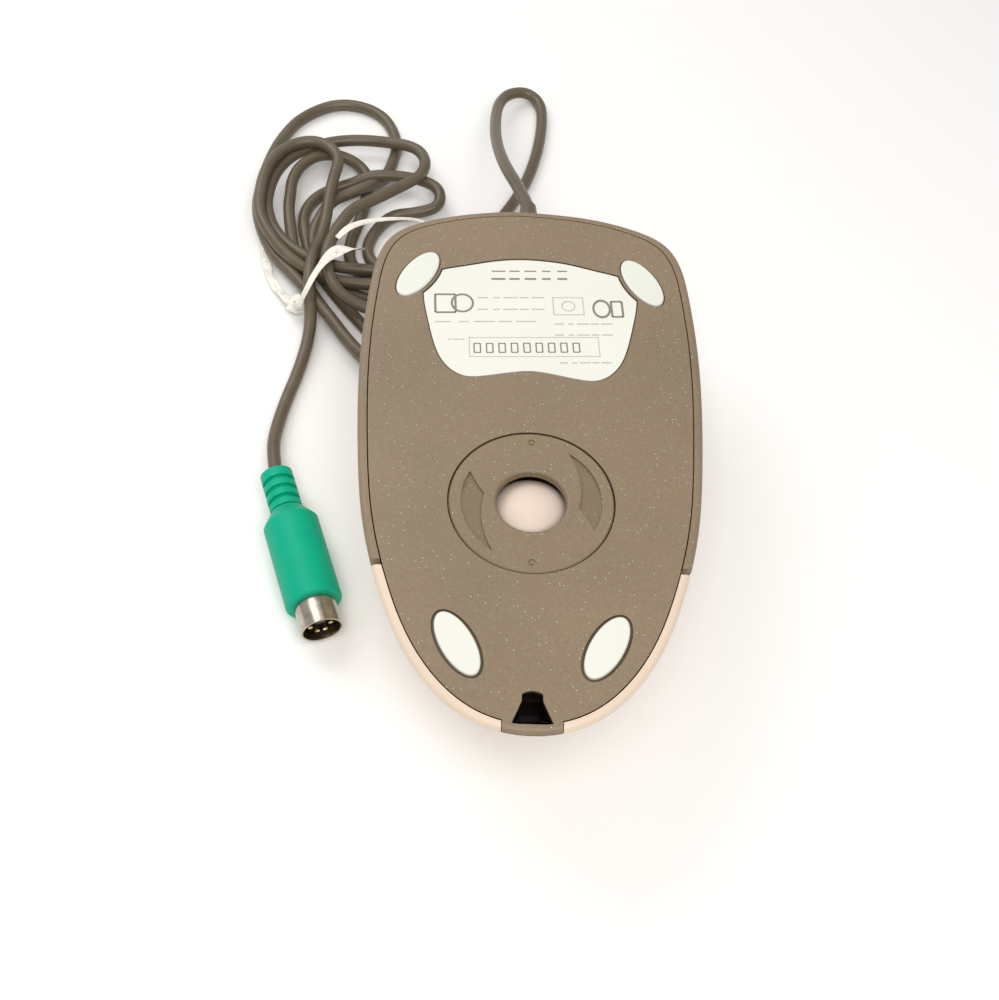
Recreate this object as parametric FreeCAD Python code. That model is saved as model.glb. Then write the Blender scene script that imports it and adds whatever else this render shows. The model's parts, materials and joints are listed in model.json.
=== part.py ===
"""Ball mouse resting on its back, as separate pieces that fit together.

Millimetres. +Z points out of the underside (up, as it lies), +Y towards the cord end, +X to the
right. The origin is on the floor, under the middle of the body's length and width.
"""
import FreeCAD
import Part
import math
import os

V = FreeCAD.Vector

# ---------------------------------------------------------------- driving dimensions
BODY_LENGTH = 129.3
BODY_WIDTH = 72.2
BODY_HEIGHT = 36.5        # hump on the floor to the underside plate
WALL = 1.9                # upper shells, and the rim they show around the underside
EDGE_ROUND = 1.1          # rounding of that rim
PLATE = 2.2               # underside plate
PLATE_GAP = 0.25          # plate to shells, all round
PANEL_GAP = 0.5           # cover to frame, spine to keys
KEY_GAP = 1.4             # keys to the side band, room for their travel
SIDE_SLIT = 1.3           # open slit between the band and the cover
BAND_DEPTH = 11.0         # height of the band and of the tail
SPINE_WIDTH = 13.0
TAIL_WIDTH = 10.8
LIP_WALL = 1.4            # inner wall of the underside plate
LIP_DEPTH = 6.0
LIP_GAP = 0.7

RING_RADIUS = 16.3        # ball retainer
RING_GAP = 0.3
RING_THICK = 1.9
RING_HOLE_RADIUS = 6.95
LEDGE_THICK = 1.2         # the ledge that the retainer's tabs grip
LEDGE_GAP = 0.25
SKIRT_WALL = 1.2
TAB_REACH = 1.3
RING_TURN = 25.0          # degrees to unlock
DOT_OFFSET = 14.05
FINGER_DEPTH = 0.6

BALL_DIAMETER = 21.0
BALL_CORE_DIAMETER = 16.0
BALL_SUNK = 1.0           # ball's top below the underside, with the mouse on its back
BALL_PLAY = 0.3
CAGE_PLAY = 0.7
CAGE_WALL = 1.5

ROLLER_RADIUS = 1.5
ROLLER_GAP = 0.15
BEARING_GAP = 0.05
DISC_RADIUS = 7.5
DISC_THICK = 1.0
DISC_SLOTS = 20
IDLER_RADIUS = 2.5

BOARD_THICK = 1.6
BOARD_BELOW = 7.5         # board's near face below the underside
BOARD_WIDTH = 56.0

WHEEL_RADIUS = 12.0
WHEEL_WIDTH = 7.0
WHEEL_SUNK = 19.6         # wheel's axis below the underside
TYRE = 3.2
WHEEL_GAP = 0.7
AXLE_RADIUS = 1.2

FOOT_PROUD = 0.45
FOOT_SUNK = 0.35
FOOT_FRONT = (7.3, 3.35)  # half length, half width
FOOT_REAR = (7.05, 3.15)
FOOT_LEAN = 61.0          # degrees from +X
FOOT_GAP_FRONT = 0.3
FOOT_GAP_REAR = 0.6
LABEL_SUNK = 0.35
LABEL_THICK = 0.2
LABEL_GAP = 0.3

SCREW_RADIUS = 1.1
SCREW_HEAD_RADIUS = 2.2
BOSS_RADIUS = 2.8
SWITCH = (5.8, 12.8, 6.5)
PLUNGER = (2.6, 1.2, 1.0)
TOUCH_GAP = 0.08          # key post to switch plunger

CORD_DIAMETER = 3.1
CORD_EXIT_BELOW = 6.3     # cord's axis below the underside
PLUG_SHELL_RADIUS = 4.475
PLUG_BODY_RADIUS = 6.1
PLUG_NECK_RADIUS = 3.65
PLUG_NECK = 12.7
PLUG_BODY = 22.0
PLUG_SHELL = 6.2

# ---------------------------------------------------------------- stations
ZB = BODY_HEIGHT
HALF_L = BODY_LENGTH / 2
HALF_W = BODY_WIDTH / 2


def along(fraction):
    """Y of a place given as a fraction of the body's length, from the rear."""
    return (fraction - 0.5) * BODY_LENGTH


def across(fraction):
    """X of a place given as a fraction of the body's half width."""
    return fraction * HALF_W


RING_Y = along(0.3813)
SLIT_Y = along(0.2707)            # front edge of the slit between band and cover
KEY_LINE_Y = along(0.612)         # rear edge of the keys
KEY_PIVOT_Y = KEY_LINE_Y - 3.0
WHEEL_Y = along(0.7165)
FOOT_FRONT_AT = (across(0.690), along(0.8368))
FOOT_REAR_AT = (across(0.381), along(0.1369))
SWITCH_AT = (16.0, WHEEL_Y + 10.0)
SCREW_AT = (across(0.678), along(0.8505))
BALL_R = BALL_DIAMETER / 2
BALL_Z = ZB - BALL_SUNK - BALL_R
BOARD_TOP = ZB - BOARD_BELOW + BOARD_THICK
BOARD_FACE = ZB - BOARD_BELOW     # the face that carries the components
BAND_Z = ZB - BAND_DEPTH
PLATE_Z = ZB - PLATE

# Half outline of the underside: share of the half width, share of the length ahead of or
# behind the widest point.
OUTLINE = [(0.0, 1.0), (0.368, 0.968), (0.648, 0.893), (0.864, 0.762), (0.942, 0.606),
           (0.978, 0.376), (1.0, 0.0), (0.997, -0.163), (0.967, -0.345), (0.909, -0.529),
           (0.803, -0.687), (0.640, -0.835), (0.512, -0.905), (0.285, -0.975), (0.0, -1.0)]
# Levels of the body: depth share, width share, front and rear ends, widest point, ovalness.
LEVELS = [(0.00, 1.000, 0.500, -0.500, 0.211, 0.0),
          (0.07, 0.998, 0.500, -0.491, 0.211, 0.0),
          (0.22, 0.985, 0.4975, -0.4715, 0.209, 0.0),
          (0.384, 0.952, 0.483, -0.449, 0.198, 0.08),
          (0.52, 0.900, 0.434, -0.427, 0.176, 0.22),
          (0.66, 0.815, 0.345, -0.396, 0.132, 0.45),
          (0.795, 0.695, 0.232, -0.350, 0.072, 0.65),
          (0.904, 0.525, 0.125, -0.285, 0.006, 0.85),
          (0.972, 0.335, 0.030, -0.208, -0.055, 1.0),
          (1.00, 0.190, -0.030, -0.150, -0.088, 1.0)]


# ---------------------------------------------------------------- small tools
def box(x0, x1, y0, y1, z0, z1):
    return Part.makeBox(x1 - x0, y1 - y0, z1 - z0, V(x0, y0, z0))


def centred(x, y, wide, deep, z0, z1):
    return box(x - wide / 2, x + wide / 2, y - deep / 2, y + deep / 2, z0, z1)


def rod(radius, start, end):
    start, end = V(*start), V(*end)
    return Part.makeCylinder(radius, (end - start).Length, start, end - start)


def pipe(outer, inner, start, end):
    return rod(outer, start, end).cut(rod(inner, start, end))


def prism(wire, z0, z1):
    solid = Part.Face(wire).extrude(V(0, 0, z1 - z0))
    solid.translate(V(0, 0, z0 - wire.BoundBox.ZMin))
    return solid


def closed_curve(points):
    curve = Part.BSplineCurve()
    curve.interpolate([V(*p) for p in points], PeriodicFlag=True)
    return Part.Wire([curve.toShape()])


def oval(at, halves, lean, grow=0.0):
    """Ellipse wire on the XY plane."""
    turn = math.radians(lean)
    shape = Part.Ellipse(V(0, 0, 0), halves[0] + grow, halves[1] + grow).toShape()
    shape.rotate(V(0, 0, 0), V(0, 0, 1), math.degrees(turn))
    shape.translate(V(at[0], at[1], 0))
    return Part.Wire([shape])


def mirrored(shape):
    return shape.mirror(V(0, 0, 0), V(1, 0, 0))


def joined(first, *others):
    shape = first
    for other in others:
        shape = shape.fuse(other)
    return shape


# ---------------------------------------------------------------- body surfaces
def level_ring(level, inset=0.0, z=None):
    """Closed outline of the body at one of its levels, drawn in by inset."""
    depth, width, front, rear, middle, ovalness = level
    half = width * HALF_W - inset
    ahead = (front - middle) * BODY_LENGTH - inset
    behind = (middle - rear) * BODY_LENGTH - inset
    points = []
    for across_share, along_share in OUTLINE:
        angle = math.atan2(along_share, across_share)
        x = across_share + (math.cos(angle) - across_share) * ovalness
        y = along_share + (math.sin(angle) - along_share) * ovalness
        points.append((half * x, middle * BODY_LENGTH + (ahead if y > 0 else behind) * y))
    points += [(-x, y) for x, y in points[-2:0:-1]]
    height = ZB - depth * BODY_HEIGHT if z is None else z
    return closed_curve([(x, y, height) for x, y in points])


def body_solid(inset=0.0, open_top=0.0):
    """The body's outer form, or the form drawn in by inset all over."""
    rings = []
    for index, level in enumerate(LEVELS):
        before, after = LEVELS[max(index - 1, 0)], LEVELS[min(index + 1, len(LEVELS) - 1)]
        run = (after[0] - before[0]) * BODY_HEIGHT
        fall = (before[1] - after[1]) * HALF_W
        size = math.hypot(run, fall)
        depth = level[0] * BODY_HEIGHT - inset * fall / size
        side = inset * run / size
        if index == 0:
            depth, side = -open_top, inset
        if index == len(LEVELS) - 1:
            depth, side = BODY_HEIGHT - inset, 0.35 * inset
        rings.append(level_ring(level, side, ZB - depth))
    return Part.makeLoft(rings, True, False)


OUTER = body_solid()
top_edges = [e for e in OUTER.Edges if e.BoundBox.ZMin > ZB - 0.01]
OUTER = OUTER.makeFillet(EDGE_ROUND, top_edges)
INNER = body_solid(WALL, 1.0)
LINER_OUT = body_solid(WALL + 0.4, 1.0)
LINER_IN = body_solid(WALL + 1.8, 1.0)
LINER_MID = body_solid(WALL + 1.1, 1.0)
UNDER_SKIN = body_solid(0.6, 1.0)
SHELL = OUTER.cut(INNER)
BIG = 200.0


def region(x0=-BIG, x1=BIG, y0=-BIG, y1=BIG, z0=-BIG, z1=BIG):
    return box(x0, x1, y0, y1, z0, z1)


# ---------------------------------------------------------------- casing
def make_side_band():
    """Lower frame: band round the front and sides, with the spine between the keys."""
    slot = box(-WHEEL_WIDTH / 2 - WHEEL_GAP, WHEEL_WIDTH / 2 + WHEEL_GAP,
               WHEEL_Y - WHEEL_RADIUS - WHEEL_GAP, WHEEL_Y + WHEEL_RADIUS + WHEEL_GAP, -1, BAND_Z)
    band = SHELL.common(region(y0=SLIT_Y, z0=BAND_Z))
    spine = SHELL.common(region(x0=-SPINE_WIDTH / 2, x1=SPINE_WIDTH / 2,
                                y0=KEY_LINE_Y, z1=BAND_Z + 0.01)).cut(slot)
    bar_y0, bar_y1 = KEY_LINE_Y - 14.0, KEY_LINE_Y - 6.0
    liner = LINER_OUT.cut(LINER_IN)
    bar = liner.common(region(y0=bar_y0, y1=bar_y1, z1=BAND_Z + 2.5))
    tongue = liner.common(region(x0=-4.0, x1=4.0, y0=bar_y0, y1=KEY_LINE_Y + 2.0, z1=BAND_Z))
    root = UNDER_SKIN.cut(LINER_MID).common(
        region(x0=-3.8, x1=3.8, y0=KEY_LINE_Y + 0.2, y1=KEY_LINE_Y + 1.8, z1=BAND_Z - 0.2))
    brace = UNDER_SKIN.cut(LINER_MID).common(
        region(y0=bar_y0 + 0.2, y1=bar_y1 - 0.2, z0=BAND_Z + 0.2, z1=BAND_Z + 2.4))
    frame = joined(band, spine, bar, tongue, root, brace)
    for side in (1, -1):
        x, y = side * SCREW_AT[0], SCREW_AT[1]
        boss_top = BAND_Z + 2.6
        boss = rod(BOSS_RADIUS, (x, y, BAND_Z - 5.0), (x, y, boss_top))
        web = box(min(x, side * HALF_W), max(x, side * HALF_W), y - 1.6, y + 1.6,
                  BAND_Z, boss_top).common(UNDER_SKIN)
        hole = rod(SCREW_RADIUS, (x, y, BAND_Z - 3.6), (x, y, ZB))
        frame = frame.fuse(boss).fuse(web).cut(hole)
    exit_z = ZB - CORD_EXIT_BELOW
    neck = rod(2.65, (0, HALF_L - 9, exit_z), (0, HALF_L + 4, exit_z))
    return frame.cut(neck)


def make_palm_cover():
    cover = SHELL.common(region(y1=KEY_LINE_Y - PANEL_GAP))
    cover = cover.cut(region(y0=SLIT_Y - SIDE_SLIT, z0=BAND_Z - PANEL_GAP))
    cover = cover.cut(region(x0=-TAIL_WIDTH / 2 - 0.15, x1=TAIL_WIDTH / 2 + 0.15,
                             y1=along(0.1), z0=BAND_Z - PANEL_GAP))
    rear = along(0.0)
    hook = box(-2.4, 2.4, rear + 5.5, rear + 11.5, BAND_Z - 8.0, ZB - 7.5)
    hook = hook.cut(box(-3, 3, rear + 4.5, rear + 9.9, BAND_Z - 3.0, ZB))
    hook = hook.common(UNDER_SKIN)
    return joined(cover, hook)


def make_key(side):
    """One main key: shell panel, spring tongue under the cover, post over the switch."""
    panel = SHELL.common(region(y0=KEY_LINE_Y + 0.1, z1=BAND_Z - KEY_GAP))
    inner_x = SPINE_WIDTH / 2 + PANEL_GAP
    panel = panel.common(region(x0=inner_x) if side > 0 else region(x1=-inner_x))
    x0, x1 = sorted((side * (inner_x + 2.0), side * (inner_x + 14.0)))
    liner = LINER_OUT.cut(LINER_IN)
    tongue = liner.common(region(x0, x1, KEY_PIVOT_Y - 2.4, KEY_LINE_Y + 4.0, z1=BAND_Z - KEY_GAP))
    root = UNDER_SKIN.cut(LINER_MID).common(
        region(x0 + 0.2, x1 - 0.2, KEY_LINE_Y + 0.4, KEY_LINE_Y + 3.8, z1=BAND_Z - KEY_GAP - 0.2))
    x, y = side * SWITCH_AT[0], SWITCH_AT[1] + 3.0
    tip = BOARD_FACE - SWITCH[2] - PLUNGER[2] - TOUCH_GAP
    post = centred(x, y, 3.0, 2.4, 0, tip).common(UNDER_SKIN)
    return joined(panel, tongue, root, post)


def sector(radius_in, radius_out, z0, z1, start, stop):
    """Part of a flat ring round the ball's axis, between two angles in degrees."""
    ring = pipe(radius_out, radius_in, (0, RING_Y, z0), (0, RING_Y, z1))
    reach = radius_out * 2
    corners = [V(0, RING_Y, z0 - 1)]
    steps = 4
    for step in range(steps + 1):
        angle = math.radians(start + (stop - start) * step / steps)
        corners.append(V(reach * math.cos(angle), RING_Y + reach * math.sin(angle), z0 - 1))
    wedge = Part.Face(Part.makePolygon(corners + corners[:1])).extrude(V(0, 0, z1 - z0 + 2))
    return ring.common(wedge)


SKIRT_OUT = RING_RADIUS - 3.3
LEDGE_IN = SKIRT_OUT + LEDGE_GAP
LEDGE_TOP = ZB - RING_THICK
LEDGE_BOTTOM = LEDGE_TOP - LEDGE_THICK
TAB_TOP = LEDGE_BOTTOM - LEDGE_GAP
TAB_THICK = 1.2
COLLAR_IN = SKIRT_OUT + TAB_REACH + 0.5
COLLAR_OUT = COLLAR_IN + CAGE_WALL
COLLAR_BOTTOM = TAB_TOP - TAB_THICK - 0.6
CAGE_IN = BALL_R + CAGE_PLAY
CAGE_FLOOR = BALL_Z - BALL_R - BALL_PLAY
ROLLER_OFFSET = BALL_R + ROLLER_RADIUS + ROLLER_GAP
TAB_ANGLES = (90.0, 270.0)
TAB_HALF = 14.0


def ring_cut(radius, z0, z1):
    return rod(radius, (0, RING_Y, z0), (0, RING_Y, z1))


def make_ball_ring():
    disc = ring_cut(RING_RADIUS, LEDGE_TOP, ZB)
    disc = disc.makeChamfer(0.25, [e for e in disc.Edges if e.BoundBox.ZMin > ZB - 0.01])
    skirt = ring_cut(SKIRT_OUT, TAB_TOP - TAB_THICK, LEDGE_TOP + 0.1)
    ring = disc.fuse(skirt).cut(ring_cut(SKIRT_OUT - SKIRT_WALL, 0, LEDGE_TOP - 0.01))
    ring = ring.cut(ring_cut(RING_HOLE_RADIUS, 0, ZB + 1))
    mouth = [e for e in ring.Edges if e.BoundBox.ZMin > ZB - 0.01 and e.BoundBox.XMax < 8]
    ring = ring.makeFillet(0.7, mouth)
    for angle in TAB_ANGLES:
        ring = ring.fuse(sector(SKIRT_OUT - 0.3, SKIRT_OUT + TAB_REACH, TAB_TOP - TAB_THICK, TAB_TOP,
                                angle - TAB_HALF, angle + TAB_HALF))
    tip, inner, heel = V(-12.2, 6.6, 0), V(-9.3, 1.4, 0), V(-7.5, -11.7, 0)
    edges = [Part.Arc(tip, V(-10.9, 3.9, 0), inner).toShape(),
             Part.Arc(inner, V(-9.7, -5.0, 0), heel).toShape(),
             Part.Arc(heel, V(-13.3, -4.2, 0), tip).toShape()]
    pocket = Part.Face(Part.Wire(edges)).extrude(V(0, 0, FINGER_DEPTH + 1))
    pocket.translate(V(0, RING_Y, ZB - FINGER_DEPTH))
    other = pocket.copy()
    other.rotate(V(0, RING_Y, 0), V(0, 0, 1), 180)
    ring = ring.cut(pocket).cut(other)
    for side in (1, -1):
        at = (0, RING_Y + side * DOT_OFFSET)
        dimple = pipe(0.75, 0.4, (*at, ZB - 0.25), (*at, ZB + 1))
        ring = ring.cut(dimple)
    return ring


def ball_shell():
    centre = V(0, RING_Y, BALL_Z)
    core = Part.makeSphere(BALL_CORE_DIAMETER / 2, centre)
    return Part.makeSphere(BALL_R, centre).cut(core), core


def label_outline(grow=0.0, z=0.0):
    """Arched label with a waved lower edge; its upper corners stop at the front feet."""
    sx, sy = HALF_W / 36.1, BODY_LENGTH / 129.3
    half = [(0, 49.2), (8.0, 48.4), (15.5, 46.4), (22.6, 43.0), (23.4, 38.0), (22.3, 31.2),
            (20.6, 24.0), (18.0, 18.4), (14.2, 15.6), (9.8, 15.7), (4.6, 16.8), (0, 17.4)]
    middle = 32.0
    points = [((x * sx + grow * x / 23.0), (y * sy + grow * (y - middle) / 16.0), z)
              for x, y in half]
    points += [(-x, y, zz) for x, y, zz in points[-2:0:-1]]
    return closed_curve(points)


def foot_places():
    fx, fy = FOOT_FRONT_AT
    rx, ry = FOOT_REAR_AT
    return {"front_left_foot": ((-fx, fy), FOOT_FRONT, FOOT_LEAN, FOOT_GAP_FRONT),
            "front_right_foot": ((fx, fy), FOOT_FRONT, 180 - FOOT_LEAN, FOOT_GAP_FRONT),
            "rear_left_foot": ((-rx, ry), FOOT_REAR, 180 - FOOT_LEAN, FOOT_GAP_REAR),
            "rear_right_foot": ((rx, ry), FOOT_REAR, FOOT_LEAN, FOOT_GAP_REAR)}


def make_label():
    label = prism(label_outline(0.0), ZB - LABEL_SUNK, ZB - LABEL_SUNK + LABEL_THICK)
    for name, (at, halves, lean, gap) in foot_places().items():
        if name.startswith("front"):
            label = label.cut(prism(oval(at, halves, lean, gap + 0.8), 0, ZB + 1))
    return label


def make_foot(at, halves, lean):
    foot = prism(oval(at, halves, lean), ZB - FOOT_SUNK, ZB + FOOT_PROUD)
    rim = [e for e in foot.Edges if e.BoundBox.ZMin > ZB + FOOT_PROUD - 0.01]
    return foot.makeFillet(0.4, rim)


def latch_window():
    """Flared window at the rear, open down to the cover's hook."""
    y_top, y_neck, y_end = along(0.0626), along(0.0519), along(0.0178)
    arch = Part.Arc(V(-1.9, y_top, 0), V(0, y_top + 0.6, 0), V(1.9, y_top, 0)).toShape()
    corners = [V(1.9, y_top, 0), V(1.95, y_neck, 0), V(3.8, y_end, 0), V(-3.8, y_end, 0),
               V(-1.95, y_neck, 0), V(-1.9, y_top, 0)]
    sides = [Part.LineSegment(a, b).toShape() for a, b in zip(corners, corners[1:])]
    return prism(Part.Wire([arch] + sides), BAND_Z - 1, ZB + 1).common(INNER)


def idler_point(out, along_side, z=0.0):
    """Place in the idler's own directions: out from the ball, and along its axle."""
    s = math.sqrt(0.5)
    return (s * out + s * along_side, RING_Y - s * out + s * along_side, z)


IDLER_OUT = BALL_R + IDLER_RADIUS + ROLLER_GAP
PIVOT_OUT, PIVOT_SIDE = IDLER_OUT + 4.0, 10.0


def roller_windows():
    """Openings in the cage for the two rollers and the idler."""
    z0, z1 = BALL_Z - 3.4, BALL_Z + 3.4
    left = box(-ROLLER_OFFSET - 8, -ROLLER_OFFSET + 3.2, RING_Y - 9, RING_Y + 9, z0, z1)
    front = box(-9, 9, RING_Y + ROLLER_OFFSET - 3.2, RING_Y + ROLLER_OFFSET + 8, z0, z1)
    idler = box(-7, 7, 0, 14, z0, z1)
    idler.translate(V(0, BALL_R - 3.5, 0))
    idler.rotate(V(0, 0, 0), V(0, 0, 1), -135)
    idler.translate(V(0, RING_Y, 0))
    return left, front, idler


def bearing_post(x, y, wide, deep, axis):
    """Post from the plate with a bore for a roller's shaft, axis 'x' or 'y'."""
    post = centred(x, y, wide, deep, BALL_Z - ROLLER_RADIUS - 2.0, PLATE_Z + 0.1)
    reach = 6.0
    step = (reach, 0, 0) if axis == "x" else (0, reach, 0)
    start = (x - step[0], y - step[1], BALL_Z)
    end = (x + step[0], y + step[1], BALL_Z)
    return post.cut(rod(ROLLER_RADIUS + BEARING_GAP, start, end))


X_POSTS = (RING_Y - 14.0, RING_Y + 16.5)
Y_POSTS = (-8.6, 13.0)
BOARD_POSTS = ((-22.5, along(0.585)), (22.5, along(0.63)), (-15.5, WHEEL_Y + 20.0),
               (15.5, WHEEL_Y + 20.0))
WHEEL_PIVOT_Y = WHEEL_Y + WHEEL_RADIUS + 2.2
WHEEL_Z = ZB - WHEEL_SUNK
PIVOT_RISE = 2.0
WHEEL_PIVOT_Z = WHEEL_Z + PIVOT_RISE


def make_base_shell():
    plate = body_solid(WALL + PLATE_GAP, 1.0).common(region(z0=PLATE_Z, z1=ZB))
    tail_box = region(x0=-TAIL_WIDTH / 2, x1=TAIL_WIDTH / 2, y1=along(0.075))
    tail = SHELL.common(tail_box).common(region(z0=BAND_Z))
    bridge = OUTER.common(tail_box).common(region(y1=along(0.045), z0=PLATE_Z))
    lip = body_solid(WALL + LIP_GAP, 1.0).cut(body_solid(WALL + LIP_GAP + LIP_WALL, 1.0))
    lip = lip.common(region(z0=PLATE_Z - LIP_DEPTH, z1=PLATE_Z + 0.1))
    exit_gap = box(-6.5, 6.5, HALF_L - 12, HALF_L, ZB - 12, PLATE_Z)
    lip = lip.cut(exit_gap)
    for side in (1, -1):
        lip = lip.cut(centred(side * HALF_W * 0.97, SLIT_Y - SIDE_SLIT / 2, 14, 3, 0, PLATE_Z))
    base = joined(plate, tail, bridge, lip)
    collar = ring_cut(COLLAR_OUT, COLLAR_BOTTOM - CAGE_WALL, PLATE_Z + 0.1)
    cage = ring_cut(CAGE_IN + CAGE_WALL, CAGE_FLOOR - CAGE_WALL, COLLAR_BOTTOM)
    base = base.fuse(collar).fuse(cage)
    base = base.cut(ring_cut(RING_RADIUS + RING_GAP, LEDGE_TOP, ZB + 1))
    base = base.cut(ring_cut(LEDGE_IN, LEDGE_BOTTOM, ZB))
    base = base.cut(ring_cut(COLLAR_IN, COLLAR_BOTTOM, LEDGE_BOTTOM))
    base = base.cut(ring_cut(CAGE_IN, CAGE_FLOOR, ZB))
    for angle in TAB_ANGLES:
        start = angle + RING_TURN - TAB_HALF - 2
        base = base.cut(sector(LEDGE_IN - 0.1, SKIRT_OUT + TAB_REACH + 0.4, LEDGE_BOTTOM - 0.1,
                               LEDGE_TOP, start, start + 2 * TAB_HALF + 4))
    for window in roller_windows():
        base = base.cut(window)
    for y in X_POSTS:
        base = base.fuse(bearing_post(-ROLLER_OFFSET, y, 5.6, 1.6, "y").cut(
            ring_cut(COLLAR_IN, 0, ZB)))
    for x in Y_POSTS:
        base = base.fuse(bearing_post(x, RING_Y + ROLLER_OFFSET, 1.6, 5.6, "x").cut(
            ring_cut(COLLAR_IN, 0, ZB)))
    for x, y in BOARD_POSTS:
        base = base.fuse(rod(2.4, (x, y, BOARD_TOP), (x, y, PLATE_Z + 0.1)))
        base = base.cut(rod(SCREW_RADIUS, (x, y, BOARD_TOP - 1), (x, y, PLATE_Z - 0.6)))
    px, py, _ = idler_point(PIVOT_OUT, PIVOT_SIDE)
    base = base.fuse(rod(1.2, (px, py, BALL_Z - 3.4), (px, py, PLATE_Z + 0.1)))
    for side in (1, -1):
        post = centred(side * 8.6, WHEEL_PIVOT_Y, 2.0, 4.6, WHEEL_PIVOT_Z - 2.2, PLATE_Z + 0.1)
        bore = rod(AXLE_RADIUS + BEARING_GAP, (side * 6, WHEEL_PIVOT_Y, WHEEL_PIVOT_Z),
                   (side * 11, WHEEL_PIVOT_Y, WHEEL_PIVOT_Z))
        base = base.fuse(post.cut(bore))
        x, y = side * SCREW_AT[0], SCREW_AT[1]
        base = base.fuse(rod(BOSS_RADIUS, (x, y, BAND_Z + 2.65), (x, y, PLATE_Z + 0.1)))
        base = base.cut(rod(SCREW_RADIUS + 0.1, (x, y, 0), (x, y, ZB + 1)))
        base = base.cut(rod(SCREW_HEAD_RADIUS + 0.15, (x, y, ZB - 2.0), (x, y, ZB + 1)))
    for name, (at, halves, lean, gap) in foot_places().items():
        base = base.cut(prism(oval(at, halves, lean, gap), ZB - FOOT_SUNK, ZB + 1))
    pocket = prism(label_outline(LABEL_GAP), ZB - LABEL_SUNK, ZB + 1)
    for name, (at, halves, lean, gap) in foot_places().items():
        if name.startswith("front"):
            pocket = pocket.cut(prism(oval(at, halves, lean, gap + 0.45), 0, ZB + 2))
    base = base.cut(pocket)
    base = base.cut(latch_window())
    return base


# ---------------------------------------------------------------- tracking parts
def slotted_disc(centre, axis):
    """Thin disc with slots near its rim, across the given axis."""
    disc = Part.makeCylinder(DISC_RADIUS, DISC_THICK, V(0, 0, -DISC_THICK / 2))
    slot = centred(DISC_RADIUS - 1.9, 0, 2.0, 0.9, -1, 1)
    slots = []
    for step in range(DISC_SLOTS):
        cutter = slot.copy()
        cutter.rotate(V(0, 0, 0), V(0, 0, 1), 360.0 * step / DISC_SLOTS)
        slots.append(cutter)
    disc = disc.cut(Part.makeCompound(slots))
    disc.rotate(V(0, 0, 0), V(0, 1, 0) if axis == "x" else V(1, 0, 0), 90)
    disc.translate(V(*centre))
    return disc


X_DISC_Y = RING_Y + 24.0
Y_DISC_X = 22.0


def make_x_roller():
    """Shaft along Y on the left of the ball, with its slotted disc."""
    x = -ROLLER_OFFSET
    shaft = rod(ROLLER_RADIUS, (x, X_POSTS[0] - 1.6, BALL_Z), (x, X_DISC_Y + 1.4, BALL_Z))
    return joined(shaft, slotted_disc((x, X_DISC_Y, BALL_Z), "y"))


def make_y_roller():
    """Shaft along X ahead of the ball, with its slotted disc."""
    y = RING_Y + ROLLER_OFFSET
    shaft = rod(ROLLER_RADIUS, (Y_POSTS[0] - 0.7, y, BALL_Z), (Y_DISC_X + 1.4, y, BALL_Z))
    return joined(shaft, slotted_disc((Y_DISC_X, y, BALL_Z), "x"))


def make_idler_roller():
    barrel = rod(IDLER_RADIUS, idler_point(IDLER_OUT, -2, BALL_Z), idler_point(IDLER_OUT, 2, BALL_Z))
    stub = rod(0.8, idler_point(IDLER_OUT, -3.9, BALL_Z), idler_point(IDLER_OUT, 3.9, BALL_Z))
    return joined(barrel, stub)


def make_idler_arm():
    """Fork that carries the idler and turns on the post beside it."""
    def block(o0, o1, s0, s1, z0, z1):
        shape = box(s0, s1, -o1, -o0, z0, z1)
        shape.rotate(V(0, 0, 0), V(0, 0, 1), 45)
        shape.translate(V(0, RING_Y, 0))
        return shape
    z0, z1 = BALL_Z - 1.6, BALL_Z + 1.6
    fork = block(IDLER_OUT - 1.5, IDLER_OUT + 5.2, -3.9, -2.4, z0, z1)
    fork = fork.fuse(block(IDLER_OUT - 1.5, IDLER_OUT + 5.2, 2.4, 3.9, z0, z1))
    fork = fork.fuse(block(IDLER_OUT + 3.2, IDLER_OUT + 5.2, -3.9, PIVOT_SIDE, z0, z1))
    px, py, _ = idler_point(PIVOT_OUT, PIVOT_SIDE)
    fork = fork.fuse(rod(2.4, (px, py, z0), (px, py, z1)))
    fork = fork.cut(rod(1.2 + BEARING_GAP, (px, py, z0 - 1), (px, py, z1 + 1)))
    axle = rod(0.8 + BEARING_GAP, idler_point(IDLER_OUT, -6, BALL_Z),
               idler_point(IDLER_OUT, 6, BALL_Z))
    return fork.cut(axle)


def make_eye(place, axis, side):
    """Infra-red lamp or sensor beside a disc: block, lens and two legs into the board."""
    x, y = place
    back, front = 1.2, 2.4
    wide, deep = (back + front, 4.4) if axis == "x" else (4.4, back + front)
    step = (side * 0.6, 0) if axis == "x" else (0, side * 0.6)
    block = centred(x + step[0], y + step[1], wide, deep, BALL_Z - 7.4, BALL_Z - 2.6)
    legs = []
    for offset in (-1.27, 1.27):
        lx, ly = (x, y + offset) if axis == "x" else (x + offset, y)
        legs.append(centred(lx + step[0], ly + step[1], 0.5, 0.5, BALL_Z - 2.7, BOARD_FACE))
    return joined(block, *legs)


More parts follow.
